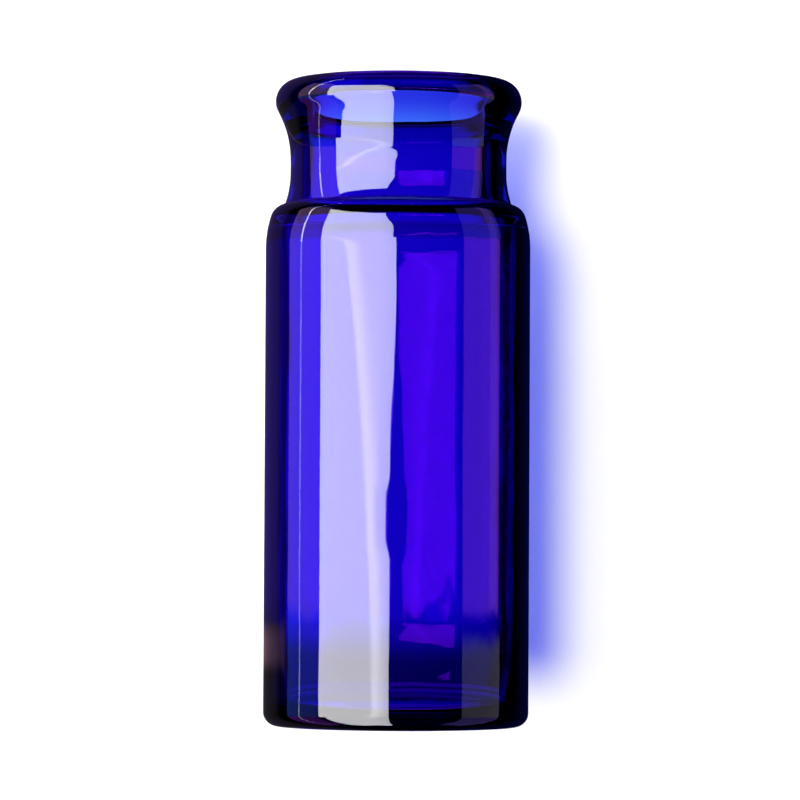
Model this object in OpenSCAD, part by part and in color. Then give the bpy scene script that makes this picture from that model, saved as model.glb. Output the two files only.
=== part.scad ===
// Wide-mouth glass bottle, made in one piece: straight body, flat shoulder, waisted neck and a thick
// rounded lip. It is a solid of revolution about Z and stands on the plane Z = 0.
// The outline is straight lines and arcs that run smoothly into each other.

/* [Overall] */
// Height from the table to the top of the lip
height = 200; // [196:1:212]
// Outside diameter of the body
body_d = 82; // [81:0.5:84]

/* [Walls] */
// Wall thickness of the body
wall = 4.6; // [3.5:0.1:5.5]
// Thickness of the bottom at its centre
floor_t = 3.8; // [3:0.1:6]
// Radius round the inside corner at the bottom
floor_corner_r = 4; // [3:0.5:7]
// How much thicker the wall gets on its way down to the bottom
base_taper = 2.4; // [1.5:0.1:3.5]
// Radius of the slow curve inside, where the wall starts to get thicker
base_sweep_r = 120; // [60:5:140]

/* [Base] */
// Radius of the heel, from the side wall to the foot
heel_r = 4.3; // [3:0.1:5]
// Width of the ring that the bottle stands on
foot_w = 3.2; // [2:0.1:5]
// How far the centre of the base is pushed up
push_up = 1.2; // [0.6:0.1:2]

/* [Shoulder] */
// Height of the shoulder
shoulder_h = 161.3; // [160:0.1:162.5]
// Radius of the slow curve from the body into the shoulder
shoulder_sweep_r = 32; // [28:0.5:36]
// Radius of the tight corner at the rim of the shoulder
shoulder_corner_r = 5.1; // [4.5:0.1:6]
// Height at which the slow curve leaves the body
sweep_h = 147.9; // [147:0.1:148.5]
// Radius of the inside corners under the shoulder
ceiling_corner_r = 2; // [1:0.5:2.5]

/* [Neck] */
// Outside diameter at the narrowest place
neck_d = 67; // [66:0.5:68]
// Diameter of the straight bore
bore_d = 58; // [54:0.5:60]
// Radius of the sweep at the foot of the neck
neck_foot_r = 29; // [28:0.5:32]
// Height of the narrowest place above the shoulder
waist_rise = 9.8; // [9:0.1:10.5]
// Radius of the small fillet where the neck meets the shoulder
neck_fillet_r = 0.9; // [0.6:0.1:1.2]
// How far the bore widens towards its bottom edge, on the radius
bore_flare = 2.8; // [2:0.1:3]
// Radius at the bottom edge of the bore
bore_edge_r = 5.5; // [2:0.5:5.5]

/* [Lip] */
// Outside diameter of the lip
lip_d = 76.3; // [75:0.1:78]
// Radius of the outside of the lip
lip_r = 6.7; // [6:0.1:7]
// Radius of the hollow curve under the lip
lip_sweep_r = 31.8; // [28:0.1:34]

/* [Hidden] */
$fn = 180;
arc_step = 8; // most degrees from one point of an arc to the next
arc_steps = 6; // fewest steps along an arc
glass_blue = [0.12, 0.10, 0.85, 0.6];

// A point at distance r from a centre, in the direction a, in degrees
function polar(centre, r, a) = centre + r * [cos(a), sin(a)];
// The points of an arc from a0 to a1, in degrees
function arc(centre, r, a0, a1) =
    let (steps = max(arc_steps, ceil(abs(a1 - a0) / arc_step)))
    [for (i = [0:steps]) polar(centre, r, a0 + (a1 - a0) * i / steps)];
// The same, without its first point, for an arc that starts where the one before it ends
function arc_on(centre, r, a0, a1) =
    let (points = arc(centre, r, a0, a1))
    [for (i = [1:len(points) - 1]) points[i]];
// The arcs at the corners of a path, without its two ends. Each corner is [x, y, most radius]
function rounded(path) =
    [for (i = [1:len(path) - 2]) each round_off(path[i - 1], path[i], path[i + 1])];
// The arc at one corner. It takes less than half of each side beside it
function round_off(before, corner, after) =
    let (
        place = flat(corner),
        room = 0.49 * min(norm(place - flat(before)), norm(flat(after) - place)),
        heading = bearing(before, corner),
        turn = (bearing(corner, after) - heading + 540) % 360 - 180,
        side = sign(turn) * 90,
        r = min(corner[2], room / tan(abs(turn) / 2)),
        start = polar(place, -r * tan(abs(turn) / 2), heading)
    )
    arc(polar(start, r, heading + side), r, heading - side, heading - side + turn);
function flat(corner) = [corner[0], corner[1]];
// Direction from one point to another, from -180 to 180 degrees
function bearing(from, to) = atan2(to[1] - from[1], to[0] - from[0]);
// The other short side of a right triangle
function leg(hypotenuse, side) = sqrt(hypotenuse ^ 2 - side ^ 2);
// Where two circles cross, on the right of the line from the first centre to the second
function crossing(a, a_r, b, b_r) =
    let (
        gap = norm(b - a),
        ahead = (b - a) / gap,
        along = (a_r ^ 2 - b_r ^ 2 + gap ^ 2) / (2 * gap)
    )
    a + along * ahead + leg(a_r, along) * [ahead[1], -ahead[0]];

body_r = body_d / 2;
inner_r = body_r - wall;
neck_r = neck_d / 2;
bore_r = bore_d / 2;

// Base: a shallow dome inside the foot ring
heel_c = [body_r - heel_r, heel_r];
dome_edge = heel_c[0] - foot_w;
dome_r = (dome_edge ^ 2 + push_up ^ 2) / (2 * push_up);
dome_c = [0, push_up - dome_r];
dome_a = bearing(dome_c, [dome_edge, 0]);
floor_z = push_up + floor_t;
base_sweep_z = floor_z + 19; // where the tapering part of the wall would meet the straight one

// Shoulder: the sweep touches the body and the corner arc
corner_z = shoulder_h - shoulder_corner_r;
sweep_c = [body_r - shoulder_sweep_r, sweep_h];
sweep_reach = leg(shoulder_sweep_r - shoulder_corner_r, corner_z - sweep_h);
corner_c = [sweep_c[0] + sweep_reach, corner_z];
corner_a = bearing(sweep_c, corner_c);
ceiling_z = shoulder_h - wall;

// Lip: the hollow under it touches both the neck and the outside of the lip
lip_c = [lip_d / 2 - lip_r, height - lip_r];
hollow_x = neck_r + lip_sweep_r;
hollow_c = [hollow_x, lip_c[1] - leg(lip_sweep_r + lip_r, hollow_x - lip_c[0])];
hollow_a = bearing(lip_c, hollow_c);
lip_edge_r = lip_c[0] - bore_r;
lip_edge_c = [lip_c[0], height - lip_edge_r];

// Neck: a small fillet runs from the shoulder's corner into the sweep, which ends at the waist
waist_z = min(shoulder_h + waist_rise, hollow_c[1] - 0.5);
foot_c = [neck_r + neck_foot_r, waist_z];
fillet_c = crossing(
    foot_c, neck_foot_r - neck_fillet_r, corner_c, shoulder_corner_r + neck_fillet_r);
fillet_a = bearing(foot_c, fillet_c);
shoulder_a = bearing(corner_c, fillet_c);

// Half section of the glass: up the outside from the middle of the base, over the lip, then down
// the inside to the middle of the floor
module section() {
    polygon(concat(
        arc(dome_c, dome_r, 90, dome_a),
        arc(heel_c, heel_r, -90, 0),
        arc(sweep_c, shoulder_sweep_r, 0, corner_a),
        arc_on(corner_c, shoulder_corner_r, corner_a, shoulder_a),
        arc_on(fillet_c, neck_fillet_r, shoulder_a - 180, fillet_a),
        arc_on(foot_c, neck_foot_r, fillet_a, -180),
        arc(hollow_c, lip_sweep_r, 180, 180 + hollow_a),
        arc_on(lip_c, lip_r, hollow_a, 90),
        arc_on(lip_edge_c, lip_edge_r, 90, 180),
        rounded([
            [bore_r, height],
            [bore_r, ceiling_z + 8.8, neck_foot_r + wall],
            [bore_r + bore_flare, ceiling_z + 0.9, bore_edge_r],
            [inner_r - 1.2, ceiling_z - 0.5, ceiling_corner_r],
            [inner_r, ceiling_z - 3.3, ceiling_corner_r],
            [inner_r, base_sweep_z, base_sweep_r],
            [inner_r - base_taper, floor_z, floor_corner_r],
            [0, floor_z]
        ]),
        [[0, floor_z]]
    ));
}

// The bottle, in one piece of glass
module bottle() {
    color(glass_blue)
        rotate_extrude()
            section();
}

bottle();
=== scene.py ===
"""Looks for the wide-mouth blue glass bottle: the glass itself, a pale studio round it, and
the camera."""

import math

import bmesh
import bpy
import numpy as np
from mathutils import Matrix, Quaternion, Vector


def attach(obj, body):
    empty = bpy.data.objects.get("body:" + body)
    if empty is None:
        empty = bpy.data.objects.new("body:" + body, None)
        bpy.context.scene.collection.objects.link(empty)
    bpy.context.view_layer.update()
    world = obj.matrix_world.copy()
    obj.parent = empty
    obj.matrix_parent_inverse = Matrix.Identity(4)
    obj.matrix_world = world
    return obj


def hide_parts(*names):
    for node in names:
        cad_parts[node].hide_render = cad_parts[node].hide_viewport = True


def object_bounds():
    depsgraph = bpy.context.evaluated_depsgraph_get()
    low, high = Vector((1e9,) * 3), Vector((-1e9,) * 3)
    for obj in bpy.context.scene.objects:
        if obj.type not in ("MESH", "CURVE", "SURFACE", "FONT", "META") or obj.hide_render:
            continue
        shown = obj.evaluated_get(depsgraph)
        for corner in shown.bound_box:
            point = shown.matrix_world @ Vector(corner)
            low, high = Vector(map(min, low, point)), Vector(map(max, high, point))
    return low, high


MM = 0.001

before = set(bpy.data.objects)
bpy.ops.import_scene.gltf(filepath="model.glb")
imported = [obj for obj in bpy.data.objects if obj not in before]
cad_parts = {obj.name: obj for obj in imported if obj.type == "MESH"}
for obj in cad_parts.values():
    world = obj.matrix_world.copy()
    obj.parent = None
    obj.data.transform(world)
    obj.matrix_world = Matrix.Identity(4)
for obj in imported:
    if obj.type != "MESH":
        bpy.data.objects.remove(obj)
cad_low, cad_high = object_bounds()
height = cad_high.z
body_r = cad_high.x


# ---------------------------------------------------------------- the shape of the glass

TURN_STEPS = 256  # vertices round the axis
CURVE_STEP = 0.6 * MM  # longest step along a curve of the section
STRAIGHT_STEP = 1.5 * MM  # longest step along a straight wall
LONG_CHORD = 6 * MM  # chords of the CAD section longer than this are straight walls
SEAM_REACH = 1e-7  # a vertex this close to the plane of the seam lies on it
SAME_PLACE = 7  # two vertices that agree to this many decimals of a metre are one point
LIP_BLEND = 12  # rings at the top of the lip over which the outer ripples give way to the inner
FOOT_CALM = 12 * MM  # height over which the ripples grow from nothing at the foot


def cad_section(node):
    """Half section of a turned CAD node as (radius, height) points, from the middle of the base,
    over the lip, to the middle of the floor. It follows the seam where the turned faces start."""
    mesh = node.data
    corner_of, places = {}, {}
    for v in mesh.vertices:
        if abs(v.co.y) < SEAM_REACH and v.co.x > -SEAM_REACH:
            place = (round(v.co.x, SAME_PLACE), round(v.co.z, SAME_PLACE))
            corner_of[v.index] = places.setdefault(place, len(places))
    neighbours = [set() for _ in places]
    for edge in mesh.edges:
        a, b = (corner_of.get(i) for i in edge.vertices)
        if a is not None and b is not None and a != b:
            neighbours[a].add(b)
            neighbours[b].add(a)
    places = list(places)
    ends = [i for i, beside in enumerate(neighbours) if len(beside) == 1]
    walk = [min(ends, key=lambda i: places[i][0])]
    while True:
        ahead = [i for i in neighbours[walk[-1]] if i not in walk[-2:]]
        if not ahead:
            break
        walk.append(ahead[0])
    points = [places[i] for i in walk]
    if points[-1][0] > 0:
        points.append((0.0, points[-1][1]))
    return np.array(points)


def smooth_section(points):
    """The same section through the same points, as one smooth curve with short, even steps."""
    across_axis = np.array([-1.0, 1.0])
    before = np.vstack([points[1] * across_axis, points[:-1]])
    after = np.vstack([points[1:], points[-2] * across_axis])
    heading = after - before
    heading /= np.linalg.norm(heading, axis=1)[:, None]
    out = []
    for i in range(len(points) - 1):
        a, b = points[i], points[i + 1]
        chord = np.linalg.norm(b - a)
        step = STRAIGHT_STEP if chord > LONG_CHORD else CURVE_STEP
        t = np.arange(0, 1, 1 / math.ceil(chord / step))[:, None]
        ease_a, ease_b = 2 * t**3 - 3 * t**2 + 1, -2 * t**3 + 3 * t**2
        pull_a, pull_b = t**3 - 2 * t**2 + t, t**3 - t**2
        pull = pull_a * heading[i] + pull_b * heading[i + 1]
        out.append(ease_a * a + ease_b * b + chord * pull)
    return np.vstack([*out, points[-1:]])


class Ripples:
    """Low waves in a glass surface: a sum of slow waves round and up the bottle, in metres.
    The more turns a wave makes round the bottle, the lower it is."""

    def __init__(self, seed, tallest, count, turns, rise):
        rng = np.random.RandomState(seed)
        self.turns = rng.randint(turns[0], turns[1] + 1, count)
        self.rise = 2 * math.pi / (rng.uniform(*rise, count) * rng.choice([-1, 1], count))
        self.phase = rng.uniform(0, 2 * math.pi, count)
        self.size = tallest * turns[0] / self.turns

    def at(self, angle, z):
        waves = [
            size * np.cos(turns * angle + rise * z + phase)
            for turns, rise, phase, size in zip(self.turns, self.rise, self.phase, self.size)
        ]
        return sum(waves) / math.sqrt(len(waves))


# Seed, height of the tallest wave, number of waves, turns round the bottle, height of one turn
OUTER_RIPPLES = [
    Ripples(3, 0.045 * MM, 14, (3, 14), (60 * MM, 260 * MM)),
    Ripples(5, 0.006 * MM, 16, (16, 40), (25 * MM, 90 * MM)),
]
INNER_RIPPLES = [
    Ripples(7, 0.11 * MM, 16, (2, 12), (50 * MM, 240 * MM)),
    Ripples(11, 0.012 * MM, 16, (14, 34), (20 * MM, 80 * MM)),
]


def turned_glass(name, section):
    """A closed mesh turned from the section, with ripples in the outer and inner faces."""
    ring = section[1:-1]
    along = np.gradient(ring, axis=0)
    along /= np.linalg.norm(along, axis=1)[:, None]
    outward = np.column_stack([along[:, 1], -along[:, 0]])
    crest = int(np.argmax(ring[:, 1]))
    inner = np.clip((np.arange(len(ring)) - crest) / LIP_BLEND + 0.5, 0, 1)[:, None]
    angle = np.linspace(0, 2 * math.pi, TURN_STEPS, endpoint=False)[None, :]
    z = ring[:, 1:]
    foot_calm = np.clip(z / FOOT_CALM, 0, 1)
    outer_push = sum(r.at(angle, z) for r in OUTER_RIPPLES) * foot_calm
    inner_push = sum(r.at(angle, z) for r in INNER_RIPPLES)
    push = outer_push * (1 - inner) + inner_push * inner
    radius = ring[:, :1] + push * outward[:, :1]
    level = z + push * outward[:, 1:]
    # Ripples may not carry the surface past the CAD model's box
    radius = np.minimum(radius, body_r)
    level = np.clip(level, 0, height)
    x, y = radius * np.cos(angle), radius * np.sin(angle)

    bm = bmesh.new()
    rows = [
        [bm.verts.new((x[i, j], y[i, j], level[i, j])) for j in range(TURN_STEPS)]
        for i in range(len(ring))
    ]
    for low, high in zip(rows, rows[1:]):
        for j in range(TURN_STEPS):
            k = (j + 1) % TURN_STEPS
            bm.faces.new((low[j], low[k], high[k], high[j]))
    for row, tip, flip in ((rows[0], section[0], True), (rows[-1], section[-1], False)):
        middle = bm.verts.new((0, 0, tip[1]))
        for j in range(TURN_STEPS):
            k = (j + 1) % TURN_STEPS
            bm.faces.new((row[k], row[j], middle) if flip else (row[j], row[k], middle))
    bmesh.ops.recalc_face_normals(bm, faces=bm.faces)
    for face in bm.faces:
        face.smooth = True
    mesh = bpy.data.meshes.new(name)
    bm.to_mesh(mesh)
    bm.free()
    obj = bpy.data.objects.new(name, mesh)
    bpy.context.scene.collection.objects.link(obj)
    return obj


# ---------------------------------------------------------------- materials


class Nodes:
    """Short calls for building one node tree."""

    def __init__(self, tree):
        self.tree = tree
        tree.nodes.clear()

    def add(self, kind, settings=None, **inputs):
        """A new node. Underscores in an input's name stand for spaces. A value that is a socket
        is linked."""
        node = self.tree.nodes.new(kind)
        for key, value in (settings or {}).items():
            setattr(node, key, value)
        for key, value in inputs.items():
            self.put(node, key.replace("_", " "), value)
        return node

    def put(self, node, key, value):
        socket = node.inputs[key]
        if isinstance(value, bpy.types.NodeSocket):
            self.tree.links.new(value, socket)
        else:
            socket.default_value = value

    def maths(self, operation, *values):
        node = self.tree.nodes.new("ShaderNodeMath")
        node.operation = operation
        for i, value in enumerate(values):
            self.put(node, i, value)
        return node.outputs[0]

    def ramp(self, value, low, high, to_low=0.0, to_high=1.0):
        """A smooth step of value from low to high."""
        node = self.add(
            "ShaderNodeMapRange",
            {"interpolation_type": "SMOOTHSTEP"},
            Value=value,
            From_Min=low,
            From_Max=high,
            To_Min=to_low,
            To_Max=to_high,
        )
        return node.outputs["Result"]


def cobalt_glass():
    """Clear glass that takes its blue from its depth, with faint waves and a thin uneven film on
    its surface."""
    material = bpy.data.materials.new("cobalt_glass")
    material.use_nodes = True
    n = Nodes(material.node_tree)
    place = n.add("ShaderNodeTexCoord").outputs["Object"]
    stretched = n.add("ShaderNodeMapping", Vector=place, Scale=(1, 1, 0.35)).outputs[0]
    orange_peel = n.add("ShaderNodeTexNoise", Vector=stretched, Scale=120.0, Detail=2.0)
    bump = n.add(
        "ShaderNodeBump", Height=orange_peel.outputs["Fac"], Strength=0.05, Distance=0.2 * MM
    )
    film = n.add("ShaderNodeTexNoise", Vector=place, Scale=30.0, Detail=3.0)
    roughness = n.ramp(film.outputs["Fac"], 0.35, 0.75, 0.0, 0.02)
    glass = n.add(
        "ShaderNodeBsdfPrincipled",
        Base_Color=(1, 1, 1, 1),
        Roughness=roughness,
        IOR=1.52,
        Transmission_Weight=1.0,
        Normal=bump.outputs[0],
    )
    depth = n.add("ShaderNodeVolumeAbsorption", Color=(0.444, 0.0, 0.86, 1.0), Density=450.0)
    out = n.add("ShaderNodeOutputMaterial")
    n.tree.links.new(glass.outputs[0], out.inputs["Surface"])
    n.tree.links.new(depth.outputs[0], out.inputs["Volume"])
    return material


# ---------------------------------------------------------------- the studio

FLOOR_SIZE = 6.0
BACKDROP_GAP = 75 * MM  # from the bottle's axis to the wall behind it
PAPER = (0.9, 0.9, 0.9, 1)
PAINTED_GLOW_HEIGHT = 25 * MM  # how far up the backdrop the painted white glow at its foot reaches
PAINTED_GLOW_STRENGTH = 1.05

# The glass stops red and green and lets blue by, so the white key is two suns in one place:
# a yellow one that the bottle shades, and a blue one that it doesn't.
KEY_STOPPED = (1.06, 1.03, 0.22)
KEY_PASSED = (0.05, 0.08, 0.88)
KEY_STRENGTH = 3.02
KEY_ELEVATION = 2.5
# Share of the key, azimuth and softness: a dark heart of the shadow, and its wide pale edge
KEY_LOBES = [(0.65, 9.8, 12), (0.35, 14, 26)]
TOP_STRENGTH = 3.4


def plain_sheet(name, corners, material):
    mesh = bpy.data.meshes.new(name)
    mesh.from_pydata(corners, [], [tuple(range(len(corners)))])
    mesh.materials.append(material)
    obj = bpy.data.objects.new(name, mesh)
    bpy.context.scene.collection.objects.link(obj)
    return obj


def pale_paper(name, backdrop=False):
    """Plain pale paper. A backdrop doesn't show from behind, and towards its foot it fades into
    painted light: a white glow that rises from the floor line and washes out the shadow there."""
    material = bpy.data.materials.new(name)
    material.use_nodes = True
    n = Nodes(material.node_tree)
    paper = n.add("ShaderNodeBsdfDiffuse", Color=PAPER).outputs[0]
    out = n.add("ShaderNodeOutputMaterial")
    if backdrop:
        place = n.add("ShaderNodeNewGeometry")
        level = n.add("ShaderNodeSeparateXYZ", Vector=place.outputs["Position"]).outputs["Z"]
        # Painted light: the foot of the backdrop glows white, though no lamp lights it, fading out
        # by the glow height
        painted_glow = n.add("ShaderNodeEmission", Color=(1, 1, 1, 1), Strength=PAINTED_GLOW_STRENGTH).outputs[0]
        clear = n.add("ShaderNodeBsdfTransparent").outputs[0]
        for share, other in (
            (n.ramp(level, -1 * MM, PAINTED_GLOW_HEIGHT, 1.0, 0.0), painted_glow),
            (place.outputs["Backfacing"], clear),
        ):
            mix = n.add("ShaderNodeMixShader")
            for i, value in enumerate((share, paper, other)):
                n.put(mix, i, value)
            paper = mix.outputs[0]
    n.tree.links.new(paper, out.inputs["Surface"])
    return material


def hide_from_glass(obj):
    """What the glass mirrors and bends comes from the world's panels, not from this object."""
    obj.visible_glossy = False
    obj.visible_transmission = False


def sun(name, colour, strength, azimuth, elevation, softness, passes):
    """A soft sun from a direction in degrees: azimuth from the camera's side towards its left.
    The objects that it passes don't shade it."""
    light = bpy.data.lights.new(name, "SUN")
    light.color = colour
    light.energy = strength
    light.angle = math.radians(softness)
    obj = bpy.data.objects.new(name, light)
    bpy.context.scene.collection.objects.link(obj)
    a, e = math.radians(azimuth), math.radians(elevation)
    source = Vector((-math.sin(a) * math.cos(e), -math.cos(a) * math.cos(e), math.sin(e)))
    obj.rotation_mode = "QUATERNION"
    obj.rotation_quaternion = source.to_track_quat("Z", "Y")
    hide_from_glass(obj)
    clear_way = bpy.data.collections.new(name + "_passes")
    for other in passes:
        clear_way.objects.link(other)
    for entry in clear_way.collection_objects:
        entry.light_linking.link_state = "EXCLUDE"
    obj.light_linking.blocker_collection = clear_way


def studio(bottle):
    half = FLOOR_SIZE / 2
    floor = plain_sheet(
        "floor",
        [(-half, -half, 0), (half, -half, 0), (half, half, 0), (-half, half, 0)],
        pale_paper("floor_paper"),
    )
    y = BACKDROP_GAP
    backdrop = plain_sheet(
        "backdrop",
        [(-half, y, -half), (half, y, -half), (half, y, half), (-half, y, half)],
        pale_paper("backdrop_paper", backdrop=True),
    )
    for obj in (floor, backdrop):
        hide_from_glass(obj)
        obj.visible_diffuse = False
    for share, azimuth, softness in KEY_LOBES:
        key = {"azimuth": azimuth, "elevation": KEY_ELEVATION, "softness": softness}
        strength = KEY_STRENGTH * share
        sun("key_stopped", KEY_STOPPED, strength, passes=[floor], **key)
        sun("key_passed", KEY_PASSED, strength, passes=[floor, bottle], **key)
    # From a touch in front of straight up, so that the foot of the backdrop doesn't shade the floor
    sun("top", (1, 1, 1), TOP_STRENGTH, azimuth=0, elevation=89.5, softness=0.5, passes=[bottle])


# Light panels round the bottle, as seen from it. Azimuths are in degrees from straight behind the
# bottle, clockwise as seen from above, so the camera is at 180; elevations are above the horizon.
# A panel is seen by rays that the glass mirrors, by rays that came through one wall of the bottle,
# by rays that came through two, or by all of them.
PANELS = [
    # name, seen by, azimuths, edge, elevations, edge, colour, strength
    ("back_light", "two_walls", (-18, 11.5), 4, (-60, 60), 1, (0.043, 0.01, 1.05), 1.0),
    ("back_light_left", "two_walls", (-18, -5), 1, (-60, 60), 1, (0.1, 0.0, 0.65), 1.0),
    ("back_light_edge", "one_wall", (-18, 11.5), 4, (-60, 5), 1, (0.0, 0.0, 1.0), 0.15),
    ("mouth_light", "one_wall", (-16, 16), 3, (5, 60), 1, (0.2, 2.2, 1.45), 1.0),
    ("table_behind", "two_walls", (-60, 60), 4, (-24, -15), 2, (0.65, 0.3, 1.0), 0.4),
    ("table_behind_low", "two_walls", (-60, 60), 4, (-75, -38), 2, (1.1, 0.5, 1.0), 1.0),
    ("left_haze", "all", (-56, -2), 6, (-1, 60), 0.3, (1.0, 0.6, 2.7), 0.065),
    ("left_haze_on_table", "all", (-56, -2), 6, (-60, -1), 0.3, (1.0, 0.8, 1.2), 0.05),
    ("left_glint", "mirror", (-68, -6), 4, (-1.6, -1.15), 0.15, (1.0, 0.5, 0.55), 0.25),
    ("softbox", "mirror", (-174, -110), 0.6, (-1, 33), 0.6, (1.0, 1.0, 1.0), 12.0),
    ("softbox_inside", "one_wall", (-174, -110), 0.6, (-1, 6), 0.6, (1.0, 1.0, 1.0), 12.0),
    ("softbox_far", "two_walls", (-174, -117), 0.6, (-0.95, 4.1), 0.15, (1.0, 0.1, 0.85), 12.0),
    ("softbox_on_table", "mirror", (-174, -110), 0.6, (-9, -1), 0.6, (1.0, 0.98, 0.98), 12.2),
    ("softbox_below", "mirror", (-174, -117), 0.6, (-70, -9), 0.6, (0.93, 0.93, 1.0), 12.5),
    ("left_panel", "mirror", (-110, -71.5), 0.6, (-0.95, 40), 0.15, (0.85, 0.46, 0.9), 1.0),
    ("left_panel_on_table", "mirror", (-110, -71.5), 0.6, (-9, -0.95), 0.15, (0.1, 0.2, 1.3), 1.0),
    ("left_panel_below", "mirror", (-110, -71.5), 0.6, (-60, -9), 0.1, (0.35, 0.06, 0.9), 1.0),
    ("left_slit", "mirror", (-88, -86.6), 0.2, (-60, 4.4), 0.4, (1.0, 1.0, 1.0), 2.6),
    ("left_slit_top", "mirror", (-88, -86.6), 0.2, (4.4, 60), 0.4, (1.0, 1.0, 1.0), 11.0),
    ("right_panel", "mirror", (80.5, 121), 0.6, (-0.95, 7), 0.1, (0.85, 0.16, 1.5), 1.0),
    ("right_panel_top", "mirror", (79, 121), 0.6, (7, 40), 0.4, (0.25, 0.16, 1.0), 1.0),
    ("right_panel_edge", "mirror", (83, 92), 1.0, (-0.95, 40), 0.1, (0.3, 0.12, 1.0), 1.0),
    ("right_panel_on_table", "mirror", (79, 121), 0.6, (-9, -1.3), 0.15, (0.5, 0.46, 0.6), 1.0),
    ("right_panel_below", "mirror", (79, 121), 0.6, (-60, -9), 0.1, (0.3, 0.2, 1.0), 1.0),
    ("right_haze", "mirror", (0, 50), 6, (-60, 60), 1, (0.05, 0.05, 1.0), 0.05),
]

AMBIENT = 0.03  # how bright the world is to the paper, which the suns light

# The softbox's edge next to the camera hangs crooked: from one elevation to the next it swings by
# this many degrees
SOFTBOX_SWINGS = [
    (1.0, 3.2, -4.5),
    (-0.3, 0.0, 3.6),
    (0.5, 0.8, -3.6),
    (4.5, 6.0, 2.5),
    (18, 32, 8.0),
]


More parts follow.
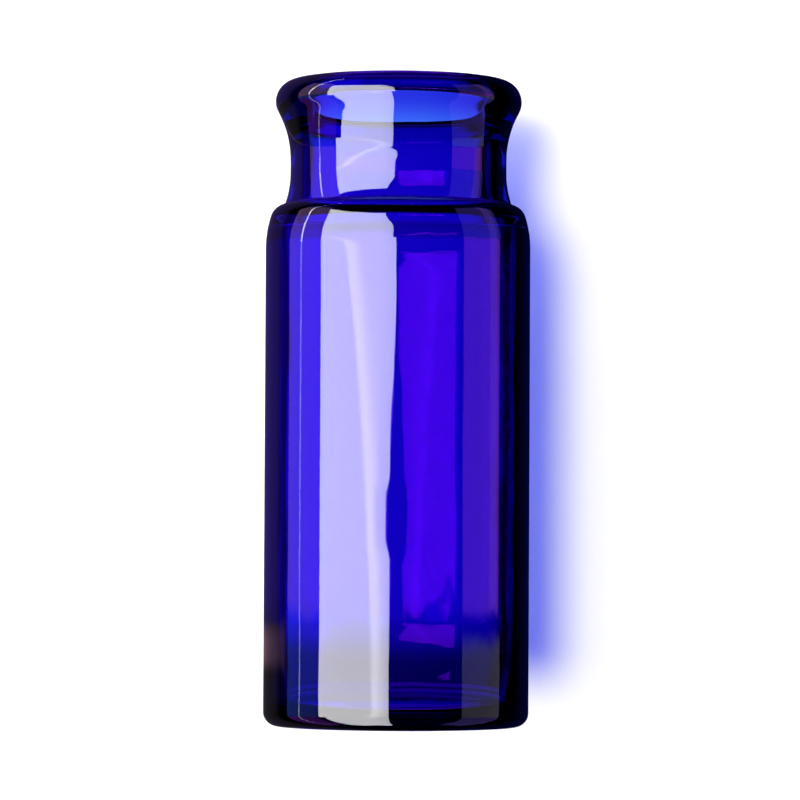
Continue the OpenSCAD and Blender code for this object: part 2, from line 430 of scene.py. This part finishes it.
def panel_world():
    """A world that is white to the camera, dim and even to matt surfaces, and has light panels
    for glass. The panels turn with the camera, so the bottle is lit alike from every side."""
    world = bpy.data.worlds.new("studio")
    bpy.context.scene.world = world
    world.use_nodes = True
    n = Nodes(world.node_tree)

    def vector(operation, a, b):
        node = n.add("ShaderNodeVectorMath", {"operation": operation})
        n.put(node, 0, a)
        n.put(node, 3 if operation == "SCALE" else 1, b)
        return node.outputs["Value" if operation == "DOT_PRODUCT" else "Vector"]

    def camera_axis(axis):
        turn = {"vector_type": "VECTOR", "convert_from": "CAMERA", "convert_to": "WORLD"}
        return n.add("ShaderNodeVectorTransform", turn, Vector=axis).outputs[0]

    def blend(share, a, b):
        node = n.add("ShaderNodeMix", {"data_type": "VECTOR"})
        for slot, value in ((0, share), (4, a), (5, b)):
            n.put(node, slot, value)
        return node.outputs[1]

    ray = n.add("ShaderNodeTexCoord").outputs["Generated"]
    side = camera_axis((1, 0, 0))
    ahead = vector("CROSS_PRODUCT", (0, 0, 1), side)
    rise = n.add("ShaderNodeSeparateXYZ", Vector=ray).outputs["Z"]
    azimuth = n.maths(
        "DEGREES",
        n.maths("ARCTAN2", vector("DOT_PRODUCT", ray, side), vector("DOT_PRODUCT", ray, ahead)),
    )
    elevation = n.maths("DEGREES", n.maths("ARCSINE", rise))

    swing = 0.0
    for low, high, turn in SOFTBOX_SWINGS:
        swing = n.maths("ADD", swing, n.ramp(elevation, low, high, 0.0, turn))
    near_camera = n.ramp(azimuth, -165, -150, 1.0, 0.0)
    azimuth = n.maths("SUBTRACT", azimuth, n.maths("MULTIPLY", swing, near_camera))

    # Its cloth has a slanting crease, brighter on one side, and is a little darker at that edge
    slope = n.maths("MULTIPLY_ADD", elevation, -0.6, -3.2)
    from_crease = n.maths("ADD", azimuth, n.maths("MULTIPLY_ADD", elevation, slope, 155.0))
    bright_side = n.maths(
        "MULTIPLY", n.ramp(from_crease, -1.5, 1.5, 1.0, 0.0), n.ramp(from_crease, -16, -4)
    )
    plain_cloth = n.ramp(azimuth, -169, -162, 0.82, 0.92)
    cloth = n.maths("MULTIPLY_ADD", bright_side, 0.3, plain_cloth)

    path = n.add("ShaderNodeLightPath").outputs
    faces = path["Transmission Depth"]
    mirrored = n.maths("LESS_THAN", faces, 0.5)
    two_walls = n.maths("GREATER_THAN", faces, 2.5)
    one_wall = n.maths("SUBTRACT", n.maths("SUBTRACT", 1.0, mirrored), two_walls)
    seen_by = {"mirror": mirrored, "one_wall": one_wall, "two_walls": two_walls, "all": 1.0}

    # The back light fades down towards the table for a low camera, but not for a high one
    dusk = n.maths(
        "MULTIPLY",
        n.ramp(elevation, -1.6, -0.6, 0.7, 1.0),
        n.ramp(elevation, -9.0, -1.5, 0.25, 1.0),
    )
    look_down = n.add("ShaderNodeSeparateXYZ", Vector=camera_axis((0, 0, 1))).outputs["Z"]
    dusk = n.maths("MAXIMUM", dusk, n.ramp(look_down, 0.05, 0.2))

    total = (0.0, 0.0, 0.0)
    for name, seer, azimuths, side_edge, elevations, level_edge, colour, strength in PANELS:
        share = seen_by[seer]
        spans = ((azimuth, azimuths, side_edge), (elevation, elevations, level_edge))
        for value, (low, high), edge in spans:
            share = n.maths("MULTIPLY", share, n.ramp(value, low - edge, low + edge))
            share = n.maths("MULTIPLY", share, n.ramp(value, high - edge, high + edge, 1.0, 0.0))
        if name.startswith("softbox"):
            share = n.maths("MULTIPLY", share, cloth)
        if name.startswith("back_light"):
            share = n.maths("MULTIPLY", share, dusk)
        total = vector("ADD", total, vector("SCALE", tuple(c * strength for c in colour), share))

    bounced = n.maths("GREATER_THAN", path["Diffuse Depth"], 0.5)
    lit = blend(bounced, total, (AMBIENT,) * 3)
    lit = blend(path["Is Camera Ray"], lit, (1.0, 1.0, 1.0))
    background = n.add("ShaderNodeBackground", Color=lit)
    out = n.add("ShaderNodeOutputWorld")
    n.tree.links.new(background.outputs[0], out.inputs["Surface"])


LENS, FILM_WIDTH = 202, 36  # in millimetres
CAMERA_GAP = 1.39  # from the bottle's axis to the camera
CAMERA_SIDE = 0.84 * MM  # how far the camera stands to the right of the bottle's axis
CAMERA_HEIGHT = 57.8 * MM
TARGET_HEIGHT = 100.87 * MM  # the height on the bottle's axis that the camera is aimed at
CAMERA_ROLL = 0.29  # in degrees


def camera():
    """A long lens, low and level with the lower body, looking slightly up."""
    data = bpy.data.cameras.new("camera")
    data.lens = LENS
    data.sensor_width = FILM_WIDTH
    data.clip_start, data.clip_end = 0.05, 20
    obj = bpy.data.objects.new("camera", data)
    bpy.context.scene.collection.objects.link(obj)
    obj.location = (CAMERA_SIDE, -CAMERA_GAP, CAMERA_HEIGHT)
    target = Vector((CAMERA_SIDE, 0, TARGET_HEIGHT))
    look = (target - obj.location).to_track_quat("-Z", "Y")
    roll = Quaternion((0, 0, 1), math.radians(CAMERA_ROLL))
    obj.rotation_mode = "QUATERNION"
    obj.rotation_quaternion = look @ roll
    bpy.context.scene.camera = obj


bottle = turned_glass("bottle_glass", smooth_section(cad_section(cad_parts["bottle"])))
bottle.data.materials.append(cobalt_glass())
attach(bottle, "root")
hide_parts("bottle")

studio(bottle)
panel_world()
camera()
bpy.context.scene.view_settings.view_transform = "Standard"
